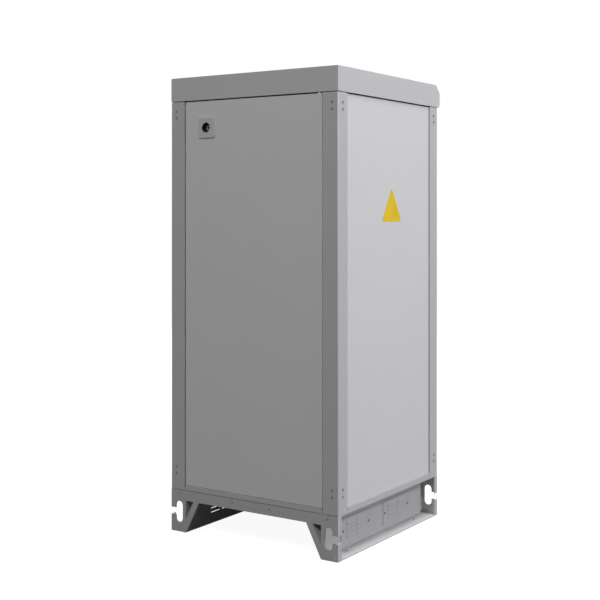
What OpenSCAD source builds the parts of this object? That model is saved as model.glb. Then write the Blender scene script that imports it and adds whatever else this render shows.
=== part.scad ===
// Floor-standing sheet-steel power distribution cabinet on a lifting base.
// Front (lock side) faces -Y, the roof's rain visor is at the rear, +Y. Millimetres, floor at Z = 0.

/* [Cabinet] */
// Width of the cabinet across the front
cab_w = 800; // [700:10:1000]
// Depth of the cabinet from front to rear
cab_d = 810; // [780:10:1000]
// Height over the roof
cab_h = 1845; // [1750:5:2100]
// Thickness of the frame and panel sheet
sheet = 2; // [1.5:0.1:2.5]
// Thickness of the ring flanges at the top and the bottom
ring_t = 3; // [2:0.5:5]
// Width of the ring flanges
ring_w = 90; // [85:1:100]

/* [Fits and fasteners] */
// Gap of parts that seat on each other
fit_gap = 0.1; // [0.05:0.05:0.2]
// Gap round a bolt in its hole
hole_gap = 0.2; // [0.1:0.1:0.8]
// Width of a hexagon over its corners, as a multiple of its thread
hex_wide = 1.85; // [1.7:0.05:1.9]
// Height of a hexagon head, as a multiple of its thread
head_high = 0.6; // [0.5:0.05:0.7]
// Height of a hexagon nut, as a multiple of its thread
nut_high = 0.8; // [0.6:0.05:0.9]
// Diameter of the screws inside
inner_screw_d = 6; // [5:0.5:6]
// Diameter of those screws' heads
inner_head_d = 11; // [10:0.5:12]
// Height of those screws' heads
inner_head_h = 4; // [3:0.5:5]
// Length of a screw that stands out behind its sheet
screw_end = 2; // [1:0.5:3]

/* [Corner posts] */
// Width of a post on each face
post_face = 68; // [62:1:80]
// Outer bend radius of a post's corner
post_bend = 3; // [3:0.5:6]
// Depth of the sealing flange behind the post's face
seal_setback = 34; // [33:0.5:38]
// Width of the sealing flange
seal_w = 40; // [38:1:46]
// Distance of the post screws from the corner on the front and rear
screw_inset_front = 27; // [22:1:40]
// Distance of the post screws from the corner on the sides
screw_inset_side = 34; // [22:1:40]
// Spacing of the two screws of a pair
screw_pair = 26; // [20:1:34]
// Height of the lower screw above the bottom ring
screw_low_rise = 63; // [50:1:80]
// Drop of the upper screw below the roof's edge
screw_top_drop = 40; // [35:1:60]
// Diameter of a screw shank
screw_d = 5; // [4:0.5:6]
// Diameter of a screw head
screw_head_d = 9.5; // [8:0.5:11]
// Height of a screw head
screw_head_h = 2.2; // [1.5:0.1:3]

/* [Roof] */
// Height of the roof's skirt
roof_h = 95; // [80:1:110]
// Overhang of the roof at the front and sides
roof_over = 0.5; // [0.5:0.5:8]
// Joint between the posts' upper ends and the roof's skirt
roof_joint = 3; // [1:0.5:4]
// Overhang of the rear visor
visor_over = 24; // [13:0.5:26]
// Size of the visor's upper chamfer
visor_chamfer = 35; // [24:1:50]
// Depth of the visor's lower fold
visor_lip_d = 10; // [6:0.5:10]
// Height of the visor's lower fold
visor_lip_h = 10; // [8:0.5:14]
// Diameter of the roof's studs
stud_d = 10; // [8:1:12]
// Length of the roof's studs
stud_l = 26; // [20:1:40]
// Distance of the studs from the middle
stud_x = 250; // [180:5:280]
// Distance of the studs from the cabinet's front and rear
stud_edge = 60; // [56:1:64]
// Diameter of the studs' shoulders, on which the roof stands
stud_shoulder_d = 22; // [18:1:26]
// Clearance between the top ring and the visor's chamfer
roof_clear = 2; // [1:0.5:6]

/* [Door and panels] */
// Recess of the door and the panels behind the posts' faces
recess = 4; // [2:0.5:5]
// Gap beside and above the door and the panels
door_gap = 4; // [3:0.1:5]
// Gap under the door and the panels
door_foot_gap = 1; // [0.8:0.1:4]
// Depth of the door's folded edge
door_depth = 18; // [16:0.5:19]
// Width of the door's rear lip
door_lip = 40; // [36:1:50]
// Width of a panel's rear lip
panel_lip = 16; // [14:1:20]
// Distance of the outer panel screws from a panel's ends
panel_screw_end = 300; // [280:5:400]
// Height of the bottom rail below the door
rail_h = 19; // [14:1:26]
// Gap between the door's top edge and the roof's skirt
door_top_gap = 5; // [5:0.5:8]
// Reach of the sealing flanges at the top and the bottom
seal_rise = 43; // [38:1:50]
// Width of the door gasket
gasket_w = 12; // [8:0.5:14]
// Gap between the door's gasket and its seat
gasket_gap = 0.3; // [0.2:0.1:1]
// Distance of the gasket from the door's edge
gasket_inset = 17; // [16:0.5:18]
// Width of the door's stiffener
stiffener_w = 60; // [40:1:80]
// Width of the stiffener's feet
stiffener_foot = 14; // [8:1:16]
// Length left free above and below the stiffener
stiffener_end = 46; // [44:1:120]

/* [Hinge] */
// Distance of the hinge axis from the door's edge
hinge_edge = 16; // [15:0.5:18]
// Distance of the hinge axis behind the door's face
hinge_back = 9; // [8.5:0.1:9.5]
// Diameter of a hinge pin
pin_d = 8; // [6:0.5:8]
// Engagement of a pin in its bush
pin_reach = 17; // [12:1:24]
// Wall of a hinge bush
bush_wall = 2; // [1.5:0.1:2.2]
// Thickness of a bush's collar
bush_collar_t = 3; // [2:0.5:5]
// Gap between a bush's collar and the door's sheet
bush_clear = 0.3; // [0.2:0.1:0.6]
// Width of a pin's collar
pin_collar = 3; // [2:0.5:4]
// Radial running clearance of pins and shafts
running = 0.05; // [0.02:0.01:0.08]

/* [Lock] */
// Distance of the lock from the door's edge
lock_edge = 108; // [100:1:125]
// Distance of the lock below the door's upper edge
lock_drop = 107; // [105:1:800]
// Side of the square escutcheon
lock_plate = 81; // [70:1:90]
// Corner radius of the escutcheon
lock_corner = 9; // [5:1:16]
// Thickness of the escutcheon
lock_plate_t = 6; // [4:0.5:6]
// Diameter of the lock's recess
lock_hole_d = 40; // [36:0.5:44]
// Depth of the lock's recess
lock_depth = 21; // [16:0.5:24]
// Wall of the lock's cup
lock_wall = 3; // [2.5:0.5:5]
// Thickness of the cup's floor
lock_floor = 10; // [8:0.5:11]
// Diameter of the turning core's shaft
core_d = 16; // [14:0.5:18]
// Diameter of the core's face
core_face_d = 30; // [24:1:34]
// Height of the core's face over the cup's floor
core_face_h = 4; // [3:0.5:6]
// Thickness of the disc round the core's hub
core_disc_h = 1.5; // [1:0.5:2.5]
// Diameter of the hub that the key fits into
core_hub_d = 18; // [16:1:22]
// Reach of the cam from the core's axis
cam_reach = 95; // [92:1:100]
// Width of the cam
cam_w = 24; // [20:1:30]
// Thickness of the cam
cam_t = 4; // [3:0.5:6]
// Widening of the cam round the core
cam_boss = 3; // [2:0.5:6]
// Side of the core's square end
cam_square = 9.5; // [8:0.5:10]
// Diameter of the cam's bolt
cam_bolt_d = 6; // [5:0.5:6]
// Length of the cam's bolt in the core
cam_bolt_l = 10; // [8:1:12]
// Room in the core past the cam's bolt
cam_bolt_room = 2; // [1:0.5:3]
// Diameter of the cam bolt's head
cam_bolt_head_d = 18; // [16:1:22]
// Thickness of the lock's nut
lock_nut_t = 6; // [4:0.5:6]
// Wall of the lock's nut
lock_nut_wall = 7; // [4:0.5:8]
// Diameter of the key's counterbore in the core
drive_d = 12; // [10:1:14]
// Height of the counterbore's floor over the cup's floor
drive_floor = 1; // [0.5:0.5:1.5]
// Diameter of the key pin
drive_pin_d = 5; // [4:0.5:6]
// Length over the key pin's bits
drive_bit_l = 9; // [7:0.5:9.5]
// Thickness of the key pin's bits
drive_bit_t = 2.5; // [2:0.5:3]

/* [Base] */
// Height of the base
base_h = 172; // [160:1:200]
// Thickness of the base's end plates
base_t = 4; // [3:0.5:6]
// Seam between an end plate's upper edge and the cabinet
base_seam = 2; // [0.5:0.5:3]
// Length of the end plates' folded returns
return_l = 20; // [12:1:30]
// Height of the rail along the top of an end plate
base_rail_h = 43; // [36:1:50]
// Width of a leg at the floor
foot_w = 75; // [72:1:78]
// Width of a leg under the rail
leg_top_w = 142; // [130:1:160]
// Distance of the side walls from the cabinet's sides
wall_inset = 70; // [66:1:72]
// Thickness of the side channels
channel_t = 5; // [4:0.5:6]
// Width of the lifting slot
key_w = 34; // [28:1:36]
// Height of the lifting slot
key_h = 85; // [70:1:90]
// Distance of the lifting slot from the outer edge
key_edge = 25; // [22:1:28]
// Height of the lifting slot's lower end
key_z = 39; // [32:1:44]
// Width of the neck that opens the lifting slot
neck_w = 28; // [20:1:34]
// Height of the triangular window's lower corner
window_z = 55; // [48:1:70]
// Width of the triangular window
window_w = 39; // [30:1:44]
// Depth of the gusset behind the window's sloping edge
gusset_d = 50; // [20:1:60]
// Distance of the gusset from that edge
gusset_in = 1; // [0.5:0.5:3]
// Diameter of the small holes in the end plates
plate_hole_d = 7; // [5:0.5:9]
// Distance of the inner rail holes from the middle
rail_hole_in = 90; // [60:1:140]
// Distance of the outer rail holes from the cabinet's side
rail_hole_out = 46; // [40:1:60]
// Drop of the rail holes below the base's top
rail_hole_drop = 18; // [14:1:20]
// Distance of the foot holes from the cabinet's side
foot_hole_edge = 14; // [12:1:18]
// Height of the foot holes
foot_hole_z = 16; // [14:1:20]
// Diameter of the floor anchor holes
anchor_d = 18; // [10:1:20]
// Distance of the anchor holes from the cabinet's side
anchor_edge = 47; // [40:1:56]
// Distance of the anchor holes from the middle, front and rear
anchor_y = 274; // [240:1:300]
// Diameter of the bolts between base and cabinet
base_bolt_d = 12; // [10:1:12]
// Distance of those bolts from the cabinet's side
base_bolt_edge = 52; // [51:0.5:53]
// Distance of those bolts from the middle, front and rear
base_bolt_y = 200; // [150:1:230]

/* [Vent covers] */
// Length of a vent cover
vent_l = 218; // [200:1:240]
// Height of a vent cover
vent_h = 94; // [88:1:100]
// Thickness of a vent cover
vent_t = 3; // [2:0.5:4]
// Distance of a vent cover from the middle
vent_start = 54; // [40:1:80]
// Height of a vent cover's middle
vent_z = 72; // [70:1:80]
// Distance of the cover screws from the cover's ends
vent_screw_inset = 12; // [10:0.5:14]
// Rows of louvres in a cover
louvre_rows = 4; // [2:1:4]
// Louvres in a row
louvre_cols = 2; // [1:1:2]
// Length of a louvre
louvre_l = 66; // [40:1:70]
// Gap between the louvres of a row
louvre_gap = 10; // [6:1:14]
// Spacing of the louvre rows
louvre_pitch = 17.5; // [16:0.5:19]
// Margin of the wall's windows round the louvres
vent_window_margin = 6; // [3:0.5:8]
// Height of a louvre's slot
louvre_slot = 7; // [5:0.5:8]
// Depth of a louvre's hood
louvre_hood = 6; // [4:0.5:8]
// Thickness of a louvre's hood
louvre_t = 1.5; // [1:0.1:2]

/* [Equipment] */
// Width of the mounting plate
plate_w = 600; // [560:10:640]
// Distance of the mounting plate above the bottom rail
plate_rise = 109; // [95:1:130]
// Distance of the mounting plate below the door's head
plate_drop = 154; // [130:1:200]
// Thickness of the mounting plate
plate_t = 3; // [2:0.5:4]
// Depth of the folds along the plate's upper and lower edges
plate_fold = 15; // [10:1:20]
// Distance of the plate's screws from its sides
plate_screw_edge = 30; // [20:1:60]
// Height of the rails behind the mounting plate
plate_rail_h = 40; // [34:1:44]
// Depth of those rails
plate_rail_d = 30; // [26:1:36]
// Thickness of those rails
rail_wall = 2.5; // [2:0.5:3]
// Distance of the rails from the plate's ends
plate_rail_end = 90; // [60:1:200]
// Diameter of the rail bolts
rail_bolt_d = 8; // [6:1:8]
// Diameter of the rail bolts' heads
rail_bolt_head_d = 13; // [11:0.5:15]
// Length of the rail bolts inside the post
rail_bolt_l = 12; // [8:1:20]
// Distance of the rail bolts behind the plate
rail_bolt_inset = 12; // [10:0.5:14]
// Height of the bolt heads on the posts and the cam
bolt_head_h = 5; // [4:0.5:6]
// Width of the main breaker
main_w = 140; // [120:5:160]
// Height of the main breaker
main_h = 260; // [240:5:270]
// Depth of the main breaker
main_d = 103; // [96:1:115]
// Width of a feeder breaker
feeder_w = 105; // [100:1:110]
// Height of a feeder breaker
feeder_h = 165; // [155:1:175]
// Depth of a feeder breaker
feeder_d = 86; // [84:1:95]
// Spacing of the feeder breakers
feeder_pitch = 120; // [115:1:125]
// Depth of the breakers' terminal steps
terminal_step = 26; // [22:1:30]
// Depth of the breakers' terminal recesses
terminal_recess = 15; // [12:1:18]
// Height of the breakers' terminal steps
terminal_h = 42; // [38:1:46]
// Height of the breakers' terminal recesses
terminal_slot_h = 29; // [26:1:34]
// Room beside a link in its terminal recess
terminal_side = 4; // [3:0.5:5]
// Wall of a breaker outside its poles
breaker_side = 4; // [3:0.5:6]
// Height of the slopes above and below a breaker's face
breaker_slope = 6; // [4:0.5:10]
// Width of a toggle's opening
toggle_slot_w = 30; // [26:1:34]
// Height of a toggle's opening
toggle_slot_h = 60; // [56:1:66]
// Depth of a toggle's opening
toggle_cavity = 30; // [28:1:34]
// Distance of a toggle's axis behind its breaker's face
toggle_back = 14; // [12:0.5:15]
// Diameter of a toggle's hub
toggle_hub_d = 20; // [18:1:22]
// Reach of a toggle from its axis
toggle_reach = 34; // [30:1:40]
// Thickness of a toggle
toggle_t = 11; // [9:0.5:13]
// Gap beside a toggle's hub, and the hub's width beside the lever
toggle_side = 1; // [0.5:0.5:2]
// Diameter of a toggle's pivot
toggle_pin_d = 6; // [5:0.5:8]
// Length of a toggle's pivot in the breaker
toggle_pin_l = 4; // [3:0.5:5]
// Angle of a toggle from level when off
toggle_tilt = 20; // [15:1:20]
// Height of a bar
bar_h = 30; // [20:1:32]
// Thickness of a bar
bar_t = 5; // [3:0.5:6]
// Length of a phase bar
bar_l = 500; // [490:5:540]
// Spacing of the busbars
bar_pitch = 60; // [50:1:60]
// Depth of the busbar supports
support_depth = 35; // [30:1:36]
// Width of the busbar supports
support_w = 30; // [20:1:34]
// Reach of the supports past the outer bars
support_end = 12; // [8:1:20]
// Depth of the screw holes in the supports
support_hole = 20; // [18:1:24]
// Length of the screws in the supports
support_screw_l = 16; // [12:1:17]
// Width of the copper links
link_w = 13; // [10:0.5:16]
// Thickness of the copper links
link_t = 4; // [3:0.5:6]
// Length of the neutral and earth bars
small_bar_l = 400; // [300:10:460]
// Holes in the neutral and earth bars
bar_holes = 12; // [6:1:14]
// Diameter of the standoffs
standoff_d = 22; // [18:1:26]
// Length of the neutral bar's standoffs
neutral_lift = 30; // [20:1:40]
// Length of the earth bar's standoffs
earth_lift = 12; // [12:1:20]
// Depth of the screw holes in the standoffs
standoff_hole = 10; // [9:0.5:11]
// Length of the screws in the standoffs
standoff_screw_l = 8; // [6:0.5:8.5]
// Width of the gland plate's overlap on the bottom ring
gland_lap = 20; // [16:1:20]
// Thickness of the gland plate
gland_plate_t = 3; // [2:0.5:5]
// Bore of the main cable gland
main_gland_d = 40; // [32:1:44]
// Bore of a feeder cable gland
feeder_gland_d = 20; // [14:1:26]
// Wall of a gland's threaded barrel
gland_wall = 5; // [4:0.5:6]
// Length of a gland's thread above the plate
gland_thread = 14; // [10:1:20]
// Height of a gland's hexagon
gland_hex_h = 10; // [6:1:12]
// Width of a gland's hexagon and nut outside the barrel
gland_grip = 7; // [6:0.5:9]
// Height of a gland's dome
gland_dome_h = 14; // [8:1:16]
// Wall at the dome's mouth
gland_lip = 2.5; // [2:0.5:4]
// Wall at the dome's root
gland_shoulder = 6.5; // [5:0.5:7]
// Thickness of a gland nut
gland_nut_t = 6; // [4:0.5:10]
// Distance of the glands behind the middle
gland_y = 180; // [120:1:200]
// Spacing of the feeder glands
gland_pitch = 95; // [90:1:110]

/* [Hidden] */
$fn = 48;
eps = 1;

paint = [0.78, 0.79, 0.78];
paint_base = [0.72, 0.73, 0.72];
zinc = [0.75, 0.75, 0.73];
copper = [0.80, 0.48, 0.30];
dark_plastic = [0.16, 0.17, 0.18];
grey_plastic = [0.42, 0.43, 0.45];
black_rubber = [0.08, 0.08, 0.08];
red_resin = [0.55, 0.12, 0.10];

// Levels
roof_z = cab_h - roof_h;
ring_top = cab_h - visor_chamfer + visor_over - sheet * sqrt(2) - roof_clear;
post_z = base_h + ring_t;
frame_top = ring_top - ring_t;
post_top = roof_z - roof_joint;
rail_top = base_h + rail_h;
door_z = rail_top + door_foot_gap;
door_top = roof_z - door_top_gap;
head_z = door_top + door_gap;
door_h = door_top - door_z;
stud_y = cab_d / 2 - stud_edge;
screw_levels = [post_z + screw_low_rise, post_z + screw_low_rise + screw_pair,
                roof_z - screw_top_drop - screw_pair, roof_z - screw_top_drop];
tab_rise = screw_low_rise + screw_pair + screw_head_d * 2;
tab_low = roof_z - screw_top_drop - screw_pair - screw_head_d * 2;
tab_w = post_face - 4 * sheet;
tab_start = post_bend + sheet;
panel_screw_levels = [door_z + panel_screw_end, (door_z + door_top) / 2, door_top - panel_screw_end];
panel_screw_inset = post_face + door_gap + panel_lip / 2;

// Hinge axis and lock axis
door_w = cab_w - 2 * post_face - 2 * door_gap;
hinge_x = door_w / 2 - hinge_edge;
hinge_y = -cab_d / 2 + recess + hinge_back;
bush_d = pin_d + 2 * running + 2 * bush_wall;
bush_collar_d = 2 * (hinge_back - sheet - bush_clear);
lock_x = door_w / 2 - lock_edge;
lock_z = door_top - lock_drop;
cup_d = lock_hole_d + 2 * lock_wall;
lock_front = recess - lock_plate_t;
cup_floor_v = lock_front + lock_depth;
cup_end_v = cup_floor_v + lock_floor;
cam_v = seal_setback + 2 * sheet;

// Base
wall_x = cab_w / 2 - wall_inset;
base_rail_z = base_h - base_rail_h;
channel_l = cab_d - 2 * base_t;
key_x = cab_w / 2 - key_edge - key_w / 2;
neck_z = key_z + key_h / 2;
vent_mid = vent_start + vent_l / 2;
louvre_run = louvre_cols * louvre_l + (louvre_cols - 1) * louvre_gap;
louvre_stack = (louvre_rows - 1) * louvre_pitch + louvre_slot;

// Equipment
flange_x = cab_w / 2 - seal_setback - sheet;
rail_y = cab_d / 2 - post_face - seal_w;
plate_y = rail_y - plate_t;
plate_z = rail_top + plate_rise;
plate_h = head_z - plate_drop - plate_z;
rail_levels = [plate_z + plate_rail_end, plate_z + plate_h - plate_rail_end];
rail_bolt_y = rail_y + rail_bolt_inset;
feeder_count = 4;
poles = 3;
main_size = [main_w, main_h, main_d];
feeder_size = [feeder_w, feeder_h, feeder_d];

// From below: earth bar, neutral bar, feeders, phase bars and main breaker share the plate's free height
phase_stack = (poles - 1) * bar_pitch + bar_h;
row_gap = (plate_h - 2 * bar_h - feeder_h - phase_stack - main_h) / 6;
earth_z = plate_z + row_gap + bar_h / 2;
neutral_z = earth_z + bar_h + row_gap;
feeder_z = neutral_z + bar_h / 2 + row_gap;
bar_z = feeder_z + feeder_h + row_gap + bar_h / 2;
main_z = bar_z - bar_h / 2 + phase_stack + row_gap;
bar_front = support_depth + bar_t;
support_x = (bar_l - support_w) / 2;
standoff_x = (small_bar_l - standoff_d) / 2;
gland_opening = [cab_w - 2 * ring_w, cab_d - 2 * ring_w];
gland_plate_z = post_z;
gland_screw_places = [
    for (a = [-1, 0, 1], b = [-1, 0, 1])
        if (abs(a) + abs(b) > 0)
            [a * (gland_opening[0] + gland_lap) / 2, b * (gland_opening[1] + gland_lap) / 2]
];
plate_screw_places = [
    for (sx = [-1, 1], z = rail_levels) [sx * (plate_w / 2 - plate_screw_edge), z]
];

function feeder_x(i) = (i - (feeder_count + 1) / 2) * feeder_pitch;
function pole_x(size, p) = (p - (poles + 1) / 2) * (size[0] - 2 * breaker_side) / poles;
function bar_level(p) = bar_z + (poles - p) * bar_pitch;
function gland_hex_d(bore) = bore + 2 * gland_wall + 2 * gland_grip;
function face_w(side) = side % 2 == 0 ? cab_w : cab_d;
function face_d(side) = side % 2 == 0 ? cab_d : cab_w;

// Frames of reference: a side of the cabinet (0 front, 1 right, 2 rear, 3 left) and a corner.
// On a side, x runs along it and y is the depth behind its face.
module on_side(side) {
    rotate([0, 0, 90 * side])
        translate([0, -face_d(side) / 2, 0])
            children();
}

module on_corner(corner) {
    side = corner;
    on_side(side)
        translate([-face_w(side) / 2, 0, 0])
            children();
}

// The same shape on a corner's first and second face
module swap_faces() {
    mirror([1, -1, 0])
        children();
}

module box(low, high) {
    translate(low)
        cube(high - low);
}

module along_x(length) {
    translate([-length / 2, 0, 0])
        rotate([90, 0, 90])
            linear_extrude(length)
                children();
}

module rod_y(d, from, to) {
    translate([0, from, 0])
        rotate([-90, 0, 0])
            cylinder(d = d, h = to - from);
}

module rod_x(d, from, to) {
    translate([from, 0, 0])
        rotate([0, 90, 0])
            cylinder(d = d, h = to - from);
}

module rod_z(d, from, to) {
    translate([0, 0, from])
        cylinder(d = d, h = to - from);
}

// Pan-head screw along +Y: its head stands in front of y = 0
module screw_y(length) {
    rod_y(screw_head_d, -screw_head_h, 0);
    rod_y(screw_d, -screw_head_h, length);
}

module inner_screw_y(length) {
    rod_y(inner_head_d, -inner_head_h, 0);
    rod_y(inner_screw_d, -inner_head_h, length);
}

// Base
module end_plate_outline() {
    half = cab_w / 2;
    polygon([
        [-half, 0], [-half + foot_w, 0], [-half + leg_top_w, base_rail_z],
        [half - leg_top_w, base_rail_z], [half - foot_w, 0], [half, 0],
        [half, base_h - base_seam], [-half, base_h - base_seam]
    ]);
}

module lifting_slot() {
    low = key_z + key_w / 2;
    high = key_z + key_h - key_w / 2;
    translate([key_x - key_w / 2, low])
        square([key_w, high - low]);
    for (z = [low, high])
        translate([key_x, z])
            circle(d = key_w);
    translate([key_x, neck_z - neck_w / 2])
        square([key_edge + key_w, neck_w]);
}

module leg_window() {
    edge = cab_w / 2 - foot_w;
    polygon([[edge, window_z], [edge, base_rail_z], [edge - window_w, base_rail_z]]);
}

// Gusset that stiffens the leg's brace behind the window
module brace_gusset() {
    foot = cab_w / 2 - foot_w - gusset_in;
    head = foot - window_w;
    translate([0, base_t + gusset_d, 0])
        rotate([90, 0, 0])
            linear_extrude(gusset_d + base_t / 2)
                polygon([
                    [foot, window_z], [head, base_rail_z],
                    [head - base_t, base_rail_z], [foot - base_t, window_z]
                ]);
}

module end_plate() {
    color(paint_base)
        difference() {
            union() {
                translate([0, base_t, 0])
                    rotate([90, 0, 0])
                        linear_extrude(base_t)
                            end_plate_outline();
                for (s = [-1, 1])
                    translate([s * (cab_w - base_t) / 2, base_t + return_l / 2, base_h / 2])
                        cube([base_t, return_l, base_h - 2 * channel_t], center = true);
                for (s = [0, 1])
                    mirror([s, 0, 0])
                        brace_gusset();
            }
            for (s = [0, 1])
                mirror([s, 0, 0])
                    translate([0, base_t + return_l + eps, 0])
                        rotate([90, 0, 0])
                            linear_extrude(base_t + return_l + 2 * eps) {
                                lifting_slot();
                                leg_window();
                            }
            for (s = [-1, 1]) {
                for (x = [rail_hole_in, cab_w / 2 - rail_hole_out])
                    translate([s * x, 0, base_h - rail_hole_drop])
                        rod_y(plate_hole_d, -eps, base_t + eps);
                translate([s * (cab_w / 2 - foot_hole_edge), 0, foot_hole_z])
                    rod_y(plate_hole_d, -eps, base_t + eps);
            }
        }
}

module base_front() {
    on_side(0)
        end_plate();
}

module base_rear() {
    on_side(2)
        end_plate();
}

module side_channel() {
    web = cab_w / 2 - wall_inset - channel_t;
    color(paint_base)
        difference() {
            union() {
                box([web, -channel_l / 2, 0], [cab_w / 2, channel_l / 2, channel_t]);
                box([web, -channel_l / 2, base_h - channel_t], [cab_w / 2, channel_l / 2, base_h]);
                box([web, -channel_l / 2, 0], [web + channel_t, channel_l / 2, base_h]);
            }
            for (s = [-1, 1]) {
                translate([cab_w / 2 - anchor_edge, s * anchor_y, 0])
                    rod_z(anchor_d, -eps, channel_t + eps);
                translate([cab_w / 2 - base_bolt_edge, s * base_bolt_y, 0])
                    rod_z(base_bolt_d + 2 * hole_gap, base_h - channel_t - eps, base_h + eps);
                translate([web - eps, s * vent_mid - louvre_run / 2 - vent_window_margin,
                           vent_z - louvre_stack / 2 - vent_window_margin])
                    cube([channel_t + 2 * eps, louvre_run + 2 * vent_window_margin,
                          louvre_stack + 2 * vent_window_margin]);
                for (e = [-1, 1])
                    translate([web, s * vent_mid + e * (vent_l / 2 - vent_screw_inset), vent_z])
                        rod_x(screw_d + 2 * fit_gap, -eps, channel_t + eps);
            }
        }
}

module base_right() {
    side_channel();
}

module base_left() {
    mirror([1, 0, 0])
        side_channel();
}

// A louvre: a hood that slopes out over a slot, open downwards, with a cheek at each end
module louvre_hood_section() {
    polygon([
        [0, louvre_slot + louvre_hood], [louvre_hood, 0], [louvre_hood - louvre_t, 0],
        [0, louvre_slot + louvre_hood - 2 * louvre_t]
    ]);
}

module louvre_cheek_section() {
    polygon([[0, 0], [0, louvre_slot + louvre_hood], [louvre_hood, 0]]);
}

module louvre() {
    translate([vent_t, louvre_l / 2, 0])
        rotate([90, 0, 0]) {
            linear_extrude(louvre_l)
                louvre_hood_section();
            for (y = [0, louvre_l - louvre_t])
                translate([0, 0, y])
                    linear_extrude(louvre_t)
                        louvre_cheek_section();
        }
}

module each_louvre() {
    for (r = [0 : louvre_rows - 1], c = [0 : louvre_cols - 1])
        translate([0, (c - (louvre_cols - 1) / 2) * (louvre_l + louvre_gap),
                   (r - (louvre_rows - 1) / 2) * louvre_pitch - louvre_slot / 2])
            children();
}

// A cover on the right-hand wall, s = -1 at the front and 1 at the rear
module vent_cover(s) {
    color(paint_base)
        translate([wall_x, s * vent_mid, vent_z])
            difference() {
                union() {
                    box([0, -vent_l / 2, -vent_h / 2], [vent_t, vent_l / 2, vent_h / 2]);
                    each_louvre()
                        louvre();
                }
                each_louvre()
                    translate([-eps, -louvre_l / 2 + louvre_t, 0])
                        cube([vent_t + eps, louvre_l - 2 * louvre_t, louvre_slot]);
                for (e = [-1, 1])
                    translate([0, e * (vent_l / 2 - vent_screw_inset), 0])
                        rod_x(screw_d + 2 * fit_gap, -eps, vent_t + eps);
            }
}

module vent_cover_front_right() {
    vent_cover(-1);
}

module vent_cover_rear_right() {
    vent_cover(1);
}

module vent_cover_front_left() {
    mirror([1, 0, 0])
        vent_cover(-1);
}

module vent_cover_rear_left() {
    mirror([1, 0, 0])
        vent_cover(1);
}

module vent_screws() {
    color(zinc)
        for (m = [0, 1], s = [-1, 1], e = [-1, 1])
            mirror([m, 0, 0])
                translate([wall_x + vent_t, s * vent_mid + e * (vent_l / 2 - vent_screw_inset), vent_z])
                    rotate([0, 0, 90])
                        screw_y(vent_t + channel_t);
}

module base_bolts() {
    head_d = base_bolt_d * hex_wide;
    head_h = base_bolt_d * head_high;
    head_from = base_h - channel_t - head_h;
    color(zinc)
        for (sx = [-1, 1], sy = [-1, 1])
            translate([sx * (cab_w / 2 - base_bolt_edge), sy * base_bolt_y, 0]) {
                translate([0, 0, head_from])
                    cylinder(d = head_d, h = head_h, $fn = 6);
                rod_z(base_bolt_d, head_from, post_z + 2 * head_h);
                translate([0, 0, post_z])
                    difference() {
                        cylinder(d = head_d, h = head_h, $fn = 6);
                        rod_z(base_bolt_d + 2 * fit_gap, -eps, head_h + eps);
                    }
            }
}

// Frame rings: a flat flange all round, a rail and a sealing flange on each side,
// and tabs behind the posts' faces. The top ring is set in behind the roof's skirt.
module ring_flange(z, set_in) {
    translate([0, 0, z])
        linear_extrude(ring_t)
            difference() {
                square([cab_w - 2 * set_in, cab_d - 2 * set_in], center = true);
                square(gland_opening, center = true);
            }
}

module ring_rail(side, set_in, wall, shelf, seal) {
    half = face_w(side) / 2 - post_face - door_gap / 2;
    seal_half = face_w(side) / 2 - post_face - seal_w - door_gap / 2;
    on_side(side) {
        box([-half, set_in, wall[0]], [half, set_in + sheet, wall[1]]);
        box([-half, set_in, shelf], [half, seal_setback - fit_gap, shelf + sheet]);
        box([-seal_half, set_in, shelf], [seal_half, seal_setback + sheet, shelf + sheet]);
        box([-seal_half, seal_setback, seal[0]], [seal_half, seal_setback + sheet, seal[1]]);
    }
}

module corner_tabs(from, to) {
    for (corner = [0 : 3])
        on_corner(corner) {
            box([tab_start, sheet, from], [tab_w, 2 * sheet, to]);
            swap_faces()
                box([tab_start, sheet, from], [tab_w, 2 * sheet, to]);
        }
}

// Each post screw: children are placed with x along the face and y into it
module each_post_screw(corner, levels) {
    first = corner % 2 == 0 ? screw_inset_front : screw_inset_side;
    second = corner % 2 == 0 ? screw_inset_side : screw_inset_front;
    on_corner(corner)
        for (z = levels) {
            translate([first, 0, z])
                children();
            swap_faces()
                translate([second, 0, z])
                    children();
        }
}

module post_screw_holes(levels) {
    for (corner = [0 : 3])
        each_post_screw(corner, levels)
            rod_y(screw_d + 2 * fit_gap, -eps, 3 * sheet);
}

module hinge_hole(z) {
    translate([hinge_x, hinge_y, 0])
        rod_z(pin_d + 2 * fit_gap, z - eps, z + sheet + eps);
}

module bottom_frame() {
    color(paint)
        difference() {
            union() {
                ring_flange(base_h, 0);
                for (side = [0 : 3])
                    ring_rail(side, 0, [post_z, rail_top], rail_top - sheet,
                              [rail_top - sheet, rail_top + seal_rise]);
                corner_tabs(post_z, post_z + tab_rise);
            }
            post_screw_holes([screw_levels[0], screw_levels[1]]);
            hinge_hole(rail_top - sheet);
            for (sx = [-1, 1], sy = [-1, 1])
                translate([sx * (cab_w / 2 - base_bolt_edge), sy * base_bolt_y, 0])
                    rod_z(base_bolt_d + 2 * hole_gap, base_h - eps, post_z + eps);
            for (p = gland_screw_places)
                translate([p[0], p[1], 0])
                    rod_z(inner_screw_d + 2 * fit_gap, base_h - eps, post_z + eps);
        }
}

module top_frame() {
    color(paint)
        difference() {
            union() {
                ring_flange(frame_top, sheet);
                for (side = [0 : 3])
                    ring_rail(side, sheet, [head_z, frame_top], head_z,
                              [head_z - seal_rise, head_z + sheet]);
                corner_tabs(tab_low, frame_top);
            }
            post_screw_holes([screw_levels[2], screw_levels[3]]);
            hinge_hole(head_z);
            for (sx = [-1, 1], sy = [-1, 1])
                translate([sx * stud_x, sy * stud_y, 0])
                    rod_z(stud_d + 2 * hole_gap, frame_top - eps, ring_top + eps);
        }
}

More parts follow.
